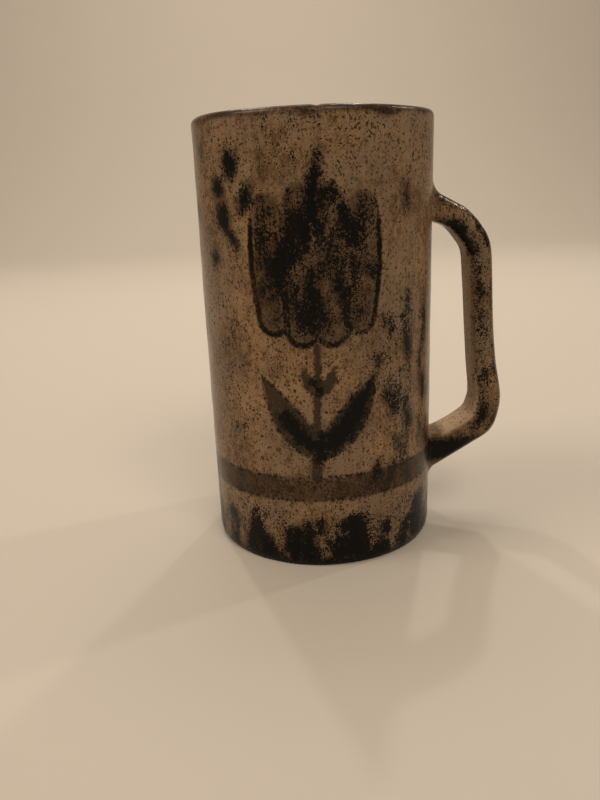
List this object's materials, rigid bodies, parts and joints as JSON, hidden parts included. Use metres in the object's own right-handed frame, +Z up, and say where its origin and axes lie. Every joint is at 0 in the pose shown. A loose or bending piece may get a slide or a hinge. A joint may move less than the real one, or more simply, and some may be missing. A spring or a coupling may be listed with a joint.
{
  "type": "beer stein",
  "caption": "Lidless hand-made stoneware stein: a tall, nearly straight glazed cylinder with a round lip, a flat base and one strap handle, for holding and drinking beer.",
  "frame": {"origin": "centre of the flat underside, on the surface that the stein stands on", "axes": "+Z up along the stein's axis, +X from the axis towards the handle, which lies in the XZ plane, +Y square to the handle"},
  "size_m": [0.1097, 0.083, 0.15],
  "materials": {
    "glazed_stoneware": "gloss",
    "base_stoneware": "matte"
  },
  "bodies": {
    "root": {"wall": "glazed_stoneware", "base": "base_stoneware", "seam_coil": "glazed_stoneware", "handle": "glazed_stoneware", "upper_joint_coil": "glazed_stoneware", "lower_joint_coil": "glazed_stoneware"}
  },
  "joints": []
}
